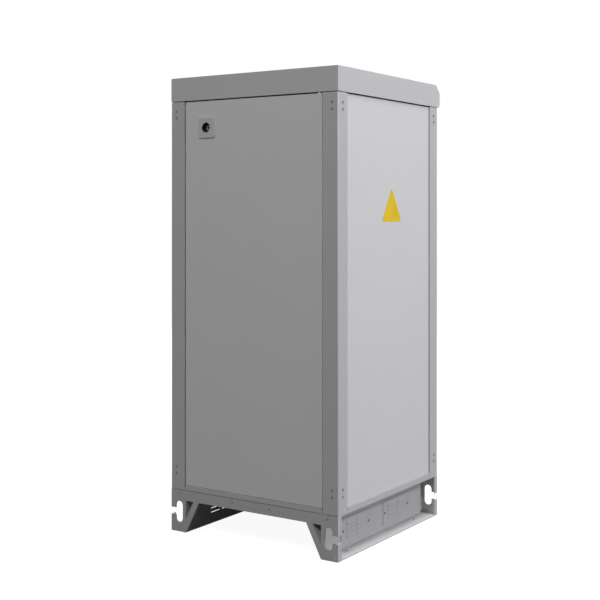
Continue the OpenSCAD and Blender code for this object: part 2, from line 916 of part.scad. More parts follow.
// Corner posts
module post_half() {
    translate([post_bend, 0])
        square([post_face - post_bend, sheet]);
    translate([post_face - sheet, 0])
        square([sheet, seal_setback + sheet]);
    translate([post_face - sheet, seal_setback])
        square([seal_w + sheet, sheet]);
}

module post_section() {
    post_half();
    mirror([1, -1])
        post_half();
    translate([post_bend, post_bend])
        difference() {
            circle(r = post_bend);
            circle(r = post_bend - sheet);
            translate([0, -post_bend])
                square([post_bend + eps, 2 * post_bend]);
            translate([-post_bend, 0])
                square([2 * post_bend, post_bend + eps]);
        }
}

module panel_screw_holes() {
    for (z = panel_screw_levels)
        translate([panel_screw_inset, 0, z])
            rod_y(screw_d + 2 * fit_gap, seal_setback - eps, seal_setback + sheet + eps);
}

module rail_bolt_holes() {
    for (z = rail_levels)
        translate([cab_d / 2 - rail_bolt_y, 0, z])
            rod_y(rail_bolt_d + 2 * fit_gap, seal_setback - eps, seal_setback + sheet + eps);
}

// Corner 0 is at the front left, then the others anticlockwise from above
module post(corner) {
    color(paint)
        difference() {
            on_corner(corner)
                difference() {
                    translate([0, 0, post_z])
                        linear_extrude(post_top - post_z)
                            post_section();
                    if (corner != 0)
                        panel_screw_holes();
                    if (corner != 1)
                        swap_faces()
                            panel_screw_holes();
                    if (corner == 3)
                        rail_bolt_holes();
                    if (corner == 2)
                        swap_faces()
                            rail_bolt_holes();
                }
            each_post_screw(corner, screw_levels)
                rod_y(screw_d + 2 * fit_gap, -eps, 3 * sheet);
        }
}

module post_screws() {
    color(zinc)
        for (corner = [0 : 3])
            each_post_screw(corner, screw_levels)
                screw_y(3 * sheet);
}

// Roof: a folded cap with a chamfered rain visor at the rear
module roof_section() {
    front = -cab_d / 2 - roof_over;
    rear = cab_d / 2 + visor_over;
    polygon([
        [front, roof_z], [front, cab_h], [rear - visor_chamfer, cab_h],
        [rear, cab_h - visor_chamfer], [rear, roof_z + visor_lip_h],
        [rear - visor_lip_d, roof_z]
    ]);
}

module roof_inside_section() {
    front = -cab_d / 2 - roof_over + sheet;
    rear = cab_d / 2 + visor_over;
    fold = sheet * (sqrt(2) - 1);
    lip = sqrt(visor_lip_d * visor_lip_d + visor_lip_h * visor_lip_h);
    lip_y = rear - visor_lip_d - sheet * lip / visor_lip_h;
    polygon([
        [front, roof_z - eps], [front, cab_h - sheet],
        [rear - visor_chamfer - fold, cab_h - sheet],
        [rear - sheet, cab_h - visor_chamfer - fold],
        [rear - sheet, roof_z + visor_lip_h + sheet * (lip - visor_lip_h) / visor_lip_d],
        [lip_y, roof_z], [lip_y, roof_z - eps]
    ]);
}

module roof() {
    roof_w = cab_w + 2 * roof_over;
    color(paint) {
        difference() {
            along_x(roof_w)
                roof_section();
            along_x(roof_w - 2 * sheet)
                roof_inside_section();
        }
        for (sx = [-1, 1], sy = [-1, 1])
            translate([sx * stud_x, sy * stud_y, 0]) {
                rod_z(stud_d, ring_top - stud_l, ring_top + sheet);
                rod_z(stud_shoulder_d, ring_top, cab_h - sheet / 2);
            }
    }
}

module roof_nuts() {
    nut_h = stud_d * nut_high;
    color(zinc)
        for (sx = [-1, 1], sy = [-1, 1])
            translate([sx * stud_x, sy * stud_y, frame_top - nut_h])
                difference() {
                    cylinder(d = stud_d * hex_wide, h = nut_h, $fn = 6);
                    rod_z(stud_d + 2 * fit_gap, -eps, nut_h + eps);
                }
}

// A folded tray: face, four sides and a lip at the back
module tray(width, depth, lip) {
    half = width / 2;
    difference() {
        box([-half, recess, door_z], [half, recess + depth, door_top]);
        box([-half + sheet, recess + sheet, door_z + sheet],
            [half - sheet, recess + depth - sheet, door_top - sheet]);
        box([-half + lip, recess + sheet, door_z + lip],
            [half - lip, recess + depth + eps, door_top - lip]);
    }
}

module side_panel(side) {
    color(paint)
        on_side(side)
            difference() {
                tray(face_w(side) - 2 * post_face - 2 * door_gap, seal_setback - recess, panel_lip);
                for (s = [-1, 1], z = panel_screw_levels)
                    translate([s * (face_w(side) / 2 - panel_screw_inset), 0, z])
                        rod_y(screw_d + 2 * fit_gap, seal_setback - sheet - eps, seal_setback + eps);
            }
}

module right_panel() {
    side_panel(1);
}

module rear_panel() {
    side_panel(2);
}

module left_panel() {
    side_panel(3);
}

module panel_screws() {
    color(zinc)
        for (side = [1 : 3], s = [-1, 1], z = panel_screw_levels)
            on_side(side)
                translate([s * (face_w(side) / 2 - panel_screw_inset), seal_setback + sheet, z])
                    rotate([0, 0, 180])
                        screw_y(3 * sheet);
}

// Door: a flat sheet on a folded frame
module front_door() {
    color(paint)
        on_side(0)
            difference() {
                box([-door_w / 2, recess, door_z], [door_w / 2, recess + sheet, door_top]);
                translate([-lock_x, 0, lock_z])
                    rod_y(cup_d + 2 * hole_gap, recess - eps, recess + sheet + eps);
            }
}

module door_frame() {
    color(paint)
        difference() {
            on_side(0)
                difference() {
                    tray(door_w, door_depth, door_lip);
                    box([-door_w / 2 - eps, recess - eps, door_z - eps],
                        [door_w / 2 + eps, recess + sheet, door_top + eps]);
                }
            translate([hinge_x, hinge_y, 0]) {
                rod_z(bush_d + 2 * fit_gap, door_z - eps, door_z + sheet + eps);
                rod_z(bush_d + 2 * fit_gap, door_top - sheet - eps, door_top + eps);
            }
        }
}

module door_gasket() {
    out = [door_w / 2 - gasket_inset, gasket_inset];
    low = recess + door_depth;
    high = seal_setback - gasket_gap;
    color(black_rubber)
        on_side(0)
            difference() {
                box([-out[0], low, door_z + out[1]], [out[0], high, door_top - out[1]]);
                box([-out[0] + gasket_w, low - eps, door_z + out[1] + gasket_w],
                    [out[0] - gasket_w, high + eps, door_top - out[1] - gasket_w]);
            }
}

// Hat-section stiffener on the back of the door's sheet
module door_stiffener() {
    back = recess + sheet;
    depth = door_depth - 2 * sheet;
    half = stiffener_w / 2;
    color(zinc)
        on_side(0)
            translate([0, back, door_z + stiffener_end])
                linear_extrude(door_h - 2 * stiffener_end) {
                    for (s = [0, 1])
                        mirror([s, 0]) {
                            translate([half - stiffener_foot, 0])
                                square([stiffener_foot, sheet]);
                            translate([half - stiffener_foot, 0])
                                square([sheet, depth]);
                        }
                    translate([-half + stiffener_foot, depth - sheet])
                        square([stiffener_w - 2 * stiffener_foot, sheet]);
                }
}

module hinge_pins() {
    collar_d = pin_d + 2 * pin_collar;
    color(zinc)
        translate([hinge_x, hinge_y, 0]) {
            rod_z(pin_d, rail_top - 2 * sheet, door_z + pin_reach);
            rod_z(collar_d, rail_top, door_z - fit_gap);
            rod_z(pin_d, door_top - pin_reach, head_z + 2 * sheet);
            rod_z(collar_d, door_top + fit_gap, head_z);
        }
}

module hinge_bush() {
    difference() {
        union() {
            rod_z(bush_d, 0, pin_reach + bush_wall);
            rod_z(bush_collar_d, sheet, sheet + bush_collar_t);
        }
        rod_z(pin_d + 2 * running, -eps, pin_reach + fit_gap);
    }
}

module hinge_bushes() {
    color(copper)
        translate([hinge_x, hinge_y, 0]) {
            translate([0, 0, door_z])
                hinge_bush();
            translate([0, 0, door_top])
                mirror([0, 0, 1])
                    hinge_bush();
        }
}

// Lock, with y as the depth behind the posts' face and its axis at x = 0, z = 0
module at_lock() {
    on_side(0)
        translate([-lock_x, 0, lock_z])
            children();
}

module escutcheon_outline() {
    inner = lock_plate / 2 - lock_corner;
    square([lock_plate, 2 * inner], center = true);
    square([2 * inner, lock_plate], center = true);
    for (sx = [-1, 1], sz = [-1, 1])
        translate([sx * inner, sz * inner])
            circle(r = lock_corner);
}

module lock_body() {
    color(paint)
        at_lock()
            difference() {
                union() {
                    translate([0, recess, 0])
                        rotate([90, 0, 0])
                            linear_extrude(lock_plate_t)
                                escutcheon_outline();
                    rod_y(cup_d, lock_front + lock_plate_t / 2, cup_end_v);
                }
                rod_y(lock_hole_d, lock_front - eps, cup_floor_v);
                rod_y(core_d + 2 * running, cup_floor_v - eps, cup_end_v + eps);
            }
}

module lock_nut() {
    color(zinc)
        at_lock()
            difference() {
                rod_y(cup_d + 2 * lock_nut_wall, recess + sheet, recess + sheet + lock_nut_t);
                rod_y(cup_d + 2 * fit_gap, recess, recess + sheet + lock_nut_t + eps);
            }
}

// Core: a low disc and a hub, with a double-bit key drive in the hub's counterbore
module lock_core() {
    face_v = cup_floor_v - running - core_face_h;
    disc_v = cup_floor_v - running - core_disc_h;
    color(dark_plastic)
        at_lock()
            difference() {
                union() {
                    rod_y(core_hub_d, face_v, disc_v + core_disc_h);
                    rod_y(core_face_d, disc_v, disc_v + core_disc_h);
                    rod_y(core_d, disc_v, cam_v - running);
                    translate([-cam_square / 2, cam_v - running, -cam_square / 2])
                        cube([cam_square, cam_t + running, cam_square]);
                }
                difference() {
                    rod_y(drive_d, face_v - eps, face_v + core_face_h - drive_floor);
                    rod_y(drive_pin_d, face_v - 2 * eps, face_v + core_face_h);
                    translate([0, face_v + core_face_h / 2, 0])
                        cube([drive_bit_l, core_face_h + 2 * eps, drive_bit_t], center = true);
                }
                rod_y(cam_bolt_d, cam_v - cam_bolt_l - cam_bolt_room, cam_v + cam_t + eps);
            }
}

// At rest the lock is open and the cam hangs down
module lock_cam() {
    reach = cam_reach - cam_w / 2;
    color(zinc)
        at_lock()
            difference() {
                union() {
                    rod_y(cam_w + 2 * cam_boss, cam_v, cam_v + cam_t);
                    translate([0, 0, -reach])
                        rod_y(cam_w, cam_v, cam_v + cam_t);
                    box([-cam_w / 2, cam_v, -reach], [cam_w / 2, cam_v + cam_t, 0]);
                }
                translate([0, cam_v + cam_t / 2, 0])
                    cube([cam_square + 2 * fit_gap, cam_t + 2 * eps, cam_square + 2 * fit_gap],
                         center = true);
            }
}

module lock_cam_screw() {
    color(zinc)
        at_lock() {
            rod_y(cam_bolt_head_d, cam_v + cam_t, cam_v + cam_t + bolt_head_h);
            rod_y(cam_bolt_d - 2 * fit_gap, cam_v - cam_bolt_l, cam_v + cam_t + bolt_head_h);
        }
}

// Mounting plate and its rails
module mounting_plate() {
    half = plate_w / 2;
    top = plate_z + plate_h;
    color(zinc)
        difference() {
            union() {
                box([-half, plate_y, plate_z], [half, rail_y, top]);
                box([-half, plate_y, plate_z], [half, rail_y + plate_fold, plate_z + plate_t]);
                box([-half, plate_y, top - plate_t], [half, rail_y + plate_fold, top]);
            }
            for (p = plate_screw_places)
                translate([p[0], 0, p[1]])
                    rod_y(inner_screw_d + 2 * fit_gap, plate_y - eps, rail_y + eps);
        }
}

// Channel rails with end plates, bolted to the rear posts' side flanges
module plate_rail_profile() {
    translate([0, -plate_rail_h / 2])
        square([rail_wall, plate_rail_h]);
    for (z = [-plate_rail_h / 2, plate_rail_h / 2 - rail_wall])
        translate([0, z])
            square([plate_rail_d, rail_wall]);
}

module plate_rails() {
    color(zinc)
        for (z = rail_levels)
            translate([0, rail_y, z])
                difference() {
                    union() {
                        along_x(2 * flange_x)
                            plate_rail_profile();
                        for (s = [-1, 1])
                            translate([s * (flange_x - rail_wall / 2), plate_rail_d / 2, 0])
                                cube([rail_wall, plate_rail_d, plate_rail_h], center = true);
                    }
                    for (m = [0, 1])
                        mirror([m, 0, 0])
                            translate([0, rail_bolt_y - rail_y, 0])
                                rod_x(rail_bolt_d + 2 * fit_gap, flange_x - rail_wall - eps,
                                      flange_x + eps);
                    for (p = plate_screw_places)
                        if (p[1] == z)
                            translate([p[0], 0, 0])
                                rod_y(inner_screw_d + 2 * fit_gap, -eps, rail_wall + eps);
                }
}

module rail_bolts() {
    color(zinc)
        for (m = [0, 1], z = rail_levels)
            mirror([m, 0, 0])
                translate([0, rail_bolt_y, z]) {
                    rod_x(rail_bolt_head_d, flange_x + sheet, flange_x + sheet + bolt_head_h);
                    rod_x(rail_bolt_d, flange_x - rail_bolt_l, flange_x + sheet + bolt_head_h);
                }
}

// Breakers stand on the plate's front: y runs from the plate towards the front as negative
module on_plate(x, z) {
    translate([x, plate_y, z])
        children();
}

module breaker_section(size) {
    h = size[1];
    d = size[2];
    polygon([
        [0, 0], [0, h], [-d + terminal_step, h], [-d + terminal_step, h - terminal_h],
        [-d, h - terminal_h - breaker_slope], [-d, terminal_h + breaker_slope],
        [-d + terminal_step, terminal_h], [-d + terminal_step, 0]
    ]);
}

module breaker_body(size) {
    h = size[1];
    d = size[2];
    slot_w = link_w + 2 * terminal_side;
    difference() {
        along_x(size[0])
            breaker_section(size);
        for (p = [1 : poles], top = [0, 1])
            translate([pole_x(size, p) - slot_w / 2, -d + terminal_step - eps,
                       top == 1 ? h - terminal_slot_h : -eps])
                cube([slot_w, terminal_recess + eps, terminal_slot_h + eps]);
        translate([-toggle_slot_w / 2, -d - eps, (h - toggle_slot_h) / 2])
            cube([toggle_slot_w, toggle_cavity + eps, toggle_slot_h]);
        translate([0, -d + toggle_back, h / 2])
            rod_x(toggle_pin_d + 2 * running, -toggle_slot_w / 2 - toggle_pin_l - fit_gap,
                  toggle_slot_w / 2 + toggle_pin_l + fit_gap);
    }
}

module breaker_toggle(size) {
    half = toggle_slot_w / 2 - toggle_side;
    translate([0, -size[2] + toggle_back, size[1] / 2]) {
        rod_x(toggle_hub_d, -half, half);
        rod_x(toggle_pin_d, -half - toggle_side - toggle_pin_l, half + toggle_side + toggle_pin_l);
        rotate([toggle_tilt, 0, 0])
            box([toggle_side - half, -toggle_reach, -toggle_t / 2], [half - toggle_side, 0, toggle_t / 2]);
    }
}

module main_breaker() {
    color(dark_plastic)
        on_plate(0, main_z)
            breaker_body(main_size);
}

module main_toggle() {
    color(grey_plastic)
        on_plate(0, main_z)
            breaker_toggle(main_size);
}

module feeder_breaker(i) {
    color(dark_plastic)
        on_plate(feeder_x(i), feeder_z)
            breaker_body(feeder_size);
}

module feeder_toggle(i) {
    color(grey_plastic)
        on_plate(feeder_x(i), feeder_z)
            breaker_toggle(feeder_size);
}

// Busbars, their supports and the copper links
module phase_bar(p) {
    color(copper)
        on_plate(0, bar_level(p))
            difference() {
                box([-bar_l / 2, -bar_front, -bar_h / 2], [bar_l / 2, -support_depth, bar_h / 2]);
                for (s = [-1, 1])
                    translate([s * support_x, 0, 0])
                        rod_y(inner_screw_d + 2 * fit_gap, -bar_front - eps, -support_depth + eps);
            }
}

module busbar_supports() {
    reach = bar_h / 2 + support_end;
    color(red_resin)
        for (s = [-1, 1])
            on_plate(s * support_x, 0)
                difference() {
                    box([-support_w / 2, -support_depth, bar_level(poles) - reach],
                        [support_w / 2, 0, bar_level(1) + reach]);
                    for (p = [1 : poles])
                        translate([0, 0, bar_level(p)])
                            rod_y(inner_screw_d + 2 * fit_gap, -support_depth - eps,
                                  -support_depth + support_hole);
                }
}

// A strip on a breaker's terminal with a spacer that reaches back to its bar
module link(x, pad_depth, p, from, to) {
    w = link_w / 2;
    on_plate(x, 0) {
        box([-w, -pad_depth - link_t, min(from, to)], [w, -pad_depth, max(from, to)]);
        box([-w, -pad_depth, bar_level(p) - w], [w, -bar_front, bar_level(p) + w]);
    }
}

module main_links() {
    pad = main_d - terminal_step - terminal_recess;
    color(copper)
        for (p = [1 : poles])
            link(pole_x(main_size, p), pad, p, main_z + terminal_step, bar_level(p) - link_w);
}

module feeder_links() {
    pad = feeder_d - terminal_step - terminal_recess;
    color(copper)
        for (i = [1 : feeder_count], p = [1 : poles])
            link(feeder_x(i) + pole_x(feeder_size, p), pad, p,
                 feeder_z + feeder_h - terminal_step, bar_level(p) + link_w);
}

module small_bar(z, lift) {
    color(copper)
        on_plate(0, z)
            difference() {
                box([-small_bar_l / 2, -lift - bar_t, -bar_h / 2], [small_bar_l / 2, -lift, bar_h / 2]);
                for (k = [0 : bar_holes - 1])
                    translate([(k - (bar_holes - 1) / 2) * small_bar_l / (bar_holes + 2), 0, 0])
                        rod_y(inner_screw_d + 2 * fit_gap, -lift - bar_t - eps, -lift + eps);
                for (s = [-1, 1])
                    translate([s * standoff_x, 0, 0])
                        rod_y(inner_screw_d + 2 * fit_gap, -lift - bar_t - eps, -lift + eps);
            }
}

module neutral_bar() {
    small_bar(neutral_z, neutral_lift);
}

module earth_bar() {
    small_bar(earth_z, earth_lift);
}

module each_standoff() {
    for (s = [-1, 1]) {
        on_plate(s * standoff_x, neutral_z)
            let($lift = neutral_lift)
                children();
        on_plate(s * standoff_x, earth_z)
            let($lift = earth_lift)
                children();
    }
}

module bar_standoffs() {
    color(red_resin)
        each_standoff()
            difference() {
                rod_y(standoff_d, -$lift, 0);
                rod_y(inner_screw_d + 2 * fit_gap, -$lift - eps, -$lift + standoff_hole);
            }
}

// Gland plate and cable glands
module gland_plate() {
    size = gland_opening + [2 * gland_lap, 2 * gland_lap];
    color(zinc)
        difference() {
            translate([-size[0] / 2, -size[1] / 2, gland_plate_z])
                cube([size[0], size[1], gland_plate_t]);
            for (p = gland_screw_places)
                translate([p[0], p[1], 0])
                    rod_z(inner_screw_d + 2 * fit_gap, gland_plate_z - eps,
                          gland_plate_z + gland_plate_t + eps);
            each_gland()
                rod_z($bore + 2 * gland_wall + 2 * fit_gap, gland_plate_z - eps,
                      gland_plate_z + gland_plate_t + eps);
        }
}

module each_gland() {
    translate([0, gland_y, 0])
        let($bore = main_gland_d)
            children();
    for (i = [1 : feeder_count])
        translate([(i - (feeder_count + 1) / 2) * gland_pitch, gland_y - gland_pitch, 0])
            let($bore = feeder_gland_d)
                children();
}

module cable_glands() {
    color(grey_plastic)
        each_gland()
            translate([0, 0, gland_plate_z])
                difference() {
                    union() {
                        rod_z($bore + 2 * gland_wall, -gland_hex_h, gland_plate_t + gland_thread);
                        translate([0, 0, -gland_hex_h])
                            cylinder(d = gland_hex_d($bore), h = gland_hex_h, $fn = 6);
                        translate([0, 0, -gland_hex_h - gland_dome_h])
                            cylinder(d1 = $bore + 2 * gland_lip, d2 = $bore + 2 * gland_shoulder,
                                     h = gland_dome_h);
                    }
                    rod_z($bore, -gland_hex_h - gland_dome_h - eps, gland_plate_t + gland_thread + eps);
                }
}

module gland_nuts() {
    color(grey_plastic)
        each_gland()
            translate([0, 0, gland_plate_z + gland_plate_t])
                difference() {
                    cylinder(d = gland_hex_d($bore), h = gland_nut_t, $fn = 6);
                    rod_z($bore + 2 * gland_wall + 2 * fit_gap, -eps, gland_nut_t + eps);
                }
}

// Screws of the mounting plate, the busbars, the small bars and the gland plate
module inner_screws() {
    color(zinc) {
        for (p = plate_screw_places)
            translate([p[0], plate_y, p[1]])
                inner_screw_y(plate_t + rail_wall + screw_end);
        for (s = [-1, 1], p = [1 : poles])
            on_plate(s * support_x, bar_level(p))
                translate([0, -bar_front, 0])
                    inner_screw_y(bar_t + support_screw_l);
        each_standoff()
            translate([0, -$lift - bar_t, 0])
                inner_screw_y(bar_t + standoff_screw_l);
        for (p = gland_screw_places)
            translate([p[0], p[1], gland_plate_z + gland_plate_t])
                rotate([-90, 0, 0])
                    inner_screw_y(gland_plate_t + ring_t);
    }
}

base_front();
base_rear();
base_left();
base_right();
vent_cover_front_left();
vent_cover_rear_left();
vent_cover_front_right();
vent_cover_rear_right();
vent_screws();
base_bolts();
bottom_frame();
top_frame();
post(0);  // post_front_left
post(1);  // post_front_right
post(2);  // post_rear_right
post(3);  // post_rear_left
post_screws();
roof();
roof_nuts();
left_panel();
right_panel();
rear_panel();
panel_screws();
front_door();
door_frame();
door_gasket();
door_stiffener();
hinge_pins();
hinge_bushes();
lock_body();
lock_nut();
lock_core();
lock_cam();
lock_cam_screw();
mounting_plate();
plate_rails();
rail_bolts();
inner_screws();
main_breaker();
main_toggle();
feeder_breaker(1);  // feeder_breaker_1
feeder_breaker(2);  // feeder_breaker_2
feeder_breaker(3);  // feeder_breaker_3
feeder_breaker(4);  // feeder_breaker_4
feeder_toggle(1);  // feeder_toggle_1
feeder_toggle(2);  // feeder_toggle_2
feeder_toggle(3);  // feeder_toggle_3
feeder_toggle(4);  // feeder_toggle_4
phase_bar(1);  // phase_bar_1
phase_bar(2);  // phase_bar_2
phase_bar(3);  // phase_bar_3
busbar_supports();
main_links();
feeder_links();
neutral_bar();
earth_bar();
bar_standoffs();
gland_plate();
cable_glands();
gland_nuts();
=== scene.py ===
import math

import bmesh
import bpy
from mathutils import Matrix, Vector


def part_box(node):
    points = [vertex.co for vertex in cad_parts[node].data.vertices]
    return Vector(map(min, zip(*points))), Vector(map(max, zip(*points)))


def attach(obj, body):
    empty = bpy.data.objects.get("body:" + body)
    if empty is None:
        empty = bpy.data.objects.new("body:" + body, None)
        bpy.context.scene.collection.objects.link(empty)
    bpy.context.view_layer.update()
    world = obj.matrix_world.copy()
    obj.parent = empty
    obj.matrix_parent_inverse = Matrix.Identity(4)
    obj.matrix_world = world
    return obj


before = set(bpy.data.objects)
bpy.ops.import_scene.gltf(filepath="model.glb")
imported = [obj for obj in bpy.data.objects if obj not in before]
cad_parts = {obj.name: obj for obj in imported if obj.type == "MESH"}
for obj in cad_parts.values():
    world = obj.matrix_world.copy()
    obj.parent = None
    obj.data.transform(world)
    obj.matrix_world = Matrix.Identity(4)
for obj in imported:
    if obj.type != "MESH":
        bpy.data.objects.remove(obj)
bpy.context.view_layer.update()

# Camera: fitted to the cabinet's corners in the photograph, level, framed by the vertical shift
CAMERA_PLACE = (2.6190, -4.0025, 1.2940)
CAMERA_TURN_DEG = (90.0, 0.0, 33.578)
CAMERA_LENS_MM = 68.43
CAMERA_SENSOR_MM = 36.0
CAMERA_SHIFT_Y = -0.1441

# Studio: a key high at the right, a low fill under it, a strip overhead, a softbox in front,
# a lamp for the two sides that the photograph doesn't show, and a pale floor
KEY_PLACE = (7.4, 0.0, 5.6)
KEY_AIM = (0.4, 0.0, 0.1)
KEY_SIZE = (1.0, 0.9)
KEY_WATTS = 176.0
FILL_PLACE = (8.4, -0.3, 2.9)
FILL_AIM = (0.4, 0.0, 0.9)
FILL_SIZE = (1.6, 0.5)
FILL_WATTS = 146.0
SIDE_COLOUR = (1.0, 1.0, 1.05)
STRIP_PLACE = (1.86, 0.1, 7.0)
STRIP_AIM = (0.5, 0.1, 0.0)
STRIP_SIZE = (0.8, 2.2)
STRIP_WATTS = 276.0
FRONT_PLACE = (1.5, -6.0, 6.5)
FRONT_AIM = (0.0, -0.4, 0.9)
FRONT_SIZE = (2.5, 1.6)
FRONT_WATTS = 200.0
BACK_PLACE = (-5.0, 5.5, 3.5)
BACK_AIM = (0.0, 0.0, 0.9)
BACK_SIZE = (2.0, 2.0)
BACK_WATTS = 320.0
LAMP_WHITE = (1.0, 1.0, 1.0)
SURROUND_LIGHT = 0.125
FLOOR_SIZE = 14.0
FLOOR_BOUNCE = 0.10
FLOOR_SHADE = 0.26
FLOOR_GLOW = 0.94

# Painted finishes, as linear colours
PANEL_TONE = (0.668, 0.668, 0.671)
POST_TONE = (0.486, 0.486, 0.490)
ROOF_TONE = (0.535, 0.535, 0.539)
BASE_TONE = (0.565, 0.567, 0.565)
LOCK_TONE = (0.560, 0.560, 0.572)
# Near black for the top frame and gland plate: painted shade in the gap under the roof and in the base's
# tunnel
FRAME_SHADE_TONE = (0.110, 0.110, 0.112)
PLATE_TONE = (0.830, 0.570, 0.016)

# Metals
ZINC_TONE = (0.55, 0.56, 0.57)
SCREW_TONE = (0.200, 0.200, 0.205)
COPPER_TONE = (0.80, 0.40, 0.24)
BRONZE_TONE = (0.62, 0.40, 0.20)
RING_TONE = (0.520, 0.520, 0.530)

# Plastics, resin and rubber
BREAKER_TONE = (0.055, 0.058, 0.062)
TOGGLE_TONE = (0.018, 0.018, 0.019)
# Black of the door gasket, also the painted shade of the base's seam strips
GASKET_AND_SEAM_SHADE_TONE = (0.020, 0.020, 0.021)
RESIN_TONE = (0.30, 0.050, 0.030)
GLAND_TONE = (0.060, 0.062, 0.065)
# Darker grey of the rail-hole plugs: painted shade of the holes
PLUG_SHADE_TONE = (0.270, 0.272, 0.275)
CORE_TONE = (0.012, 0.012, 0.012)
# Near black inside the lock's cup: painted shade in the recess
CUP_SHADE_TONE = (0.010, 0.010, 0.010)

# Skins: noise scales in waves per metre, and the spans by which tone and gloss vary
NOISE_SPAN = (0.3, 0.7)
MID_GREY = (0.5, 0.5, 0.5, 1.0)
CLOUD_SCALE = 2.6
SPECK_SCALE = 900.0
PEBBLE_SCALE = 420.0
PAINT_TINT = (0.985, 1.015)
PAINT_GLOSS_SHIFT = (-0.03, 0.03)
STREAK_SCALE = 700.0
STREAK_STRETCH = (1.0, 1.0, 0.04)
STREAK_TINT = (0.95, 1.05)
PLATING_TINT = (0.90, 1.08)
METAL_GLOSS_SHIFT = (-0.06, 0.08)
FLOW_SCALE = 14.0
FLOW_TINT = (0.94, 1.05)
GRAIN_TINT = (0.95, 1.05)
MOULDED_GLOSS_SHIFT = (-0.06, 0.06)

# Gloss and relief that several finishes share, the relief in metres
PAINT_GLOSS = 0.48
PAINT_RELIEF = 0.00006
METAL_RELIEF = 0.00002
NYLON_RELIEF = 0.00004

# Edge softening of folded sheet and moulded pieces, in metres
SHEET_EDGE = 0.0005
MOULDED_EDGE = 0.0009
MERGE_DISTANCE = 0.00001
SHARP_ANGLE = math.radians(35.0)
FLAT_ANGLE = math.radians(0.5)

# Lock: its axis, the inside of its cup painted black as shade in the recess, and the bright ring round its
# key drive, in metres
LOCK_AXIS_X = -0.220
LOCK_AXIS_Z = 1.638
CUP_RADIUS = 0.0202
RING_RADII = (0.0059, 0.0091)

# Heads of plugs, bolts and screws: how far they are sunk, and the bolts' and screws' rounded edge, in metres
HEAD_SINK = 0.002
HEAD_EDGE = 0.0008

# Grey plugs in the end plates' rail holes, darker than the plates as painted shade of the holes, in metres
PLUG_PLACES_X = (-0.354, -0.090, 0.090, 0.354)
PLUG_PLACE_Z = 0.154
PLUG_SIDES = 24
PLUG_RADIUS = 0.0044
PLUG_RISE = 0.0012
PLUG_EDGE = 0.0006

# Hexagon bolts of the copper links and round screws of the neutral and earth bars, in metres
PHASES = (1, 2, 3)
MIDDLE_PHASE = 2
FEEDERS = (1, 2, 3, 4)
FEEDER_PLACES_X = (-0.180, -0.060, 0.060, 0.180)
FEEDER_POLE_PITCH = 0.03233
MAIN_POLE_PITCH = 0.044
FEEDER_TERMINAL_Z = 0.842
MAIN_TERMINAL_Z = 1.238
BOLT_SIDES = 6
BOLT_RADIUS = 0.0058
BOLT_RISE = 0.004
TERMINAL_COUNT = 12
TERMINAL_PITCH = 0.02857
TERMINAL_SIDES = 20
TERMINAL_RADIUS = 0.0048
TERMINAL_RISE = 0.003

# Black strips behind the end plates, under the cabinet's bottom ring, that fill the seam with painted shade,
# in metres
SEAM_SHADE_HALF_LENGTH = 0.322
SEAM_SHADE_DEPTH = 0.008
SEAM_SHADE_FOOT_Z = 0.1655
SEAM_SHADE_TOP_Z = 0.1718
PLATE_STOCK = 0.004

# Ramps pressed at both ends of each louvre's hood, in metres
LOUVRE_ROWS = 4
LOUVRE_COLUMNS = 2
LOUVRE_PITCH_Y = 0.076
LOUVRE_PITCH_Z = 0.0175
LOUVRE_LENGTH = 0.066
LOUVRE_SLOT = 0.007
HOOD_HEIGHT = 0.013
HOOD_DEPTH = 0.006
RAMP_LENGTH = 0.0048
RAMP_SINK = 0.0002

# Triangular plate on the right side panel, in metres
PLATE_WIDTH = 0.159
PLATE_HEIGHT = 0.134
PLATE_CENTRE_Y = 0.0085
PLATE_FOOT_Z = 1.264
PLATE_THICKNESS = 0.0008
PLATE_CORNER = 0.014
PLATE_BEAD = 0.0090
BEAD_RISE = 0.0004


# Node helpers

def feed(tree, operand, socket):
    """Sets a socket to a number, or links another socket to it."""
    if isinstance(operand, (int, float)):
        socket.default_value = operand
    else:
        tree.links.new(operand, socket)


def noise(tree, vector, scale, detail=2.0):
    """A noise texture on the given vector, whose scale in waves per metre is a number or a socket."""
    node = tree.nodes.new("ShaderNodeTexNoise")
    node.inputs["Detail"].default_value = detail
    tree.links.new(vector, node.inputs["Vector"])
    feed(tree, scale, node.inputs["Scale"])
    return node.outputs["Fac"]


def spread(tree, value, span):
    """Maps the middle of a noise's span onto another span."""
    node = tree.nodes.new("ShaderNodeMapRange")
    node.inputs["From Min"].default_value, node.inputs["From Max"].default_value = NOISE_SPAN
    node.inputs["To Min"].default_value, node.inputs["To Max"].default_value = span
    tree.links.new(value, node.inputs["Value"])
    return node.outputs["Result"]


def maths(tree, operation, first, second):
    """One Math node, whose operands are sockets or numbers."""
    node = tree.nodes.new("ShaderNodeMath")
    node.operation = operation
    for socket, operand in zip(node.inputs, (first, second)):
        feed(tree, operand, socket)
    return node.outputs[0]


def vector_maths(tree, operation, vector, other=None):
    """One Vector Math node on a vector and, where it takes one, a fixed second vector."""
    node = tree.nodes.new("ShaderNodeVectorMath")
    node.operation = operation
    tree.links.new(vector, node.inputs[0])
    if other is not None:
        node.inputs[1].default_value = other
    return node


def tinted(tree, colour, factor):
    """A colour scaled by a varying factor."""
    node = vector_maths(tree, "SCALE", colour)
    tree.links.new(factor, node.inputs["Scale"])
    return node.outputs["Vector"]


# Skins: shader groups that the finishes share

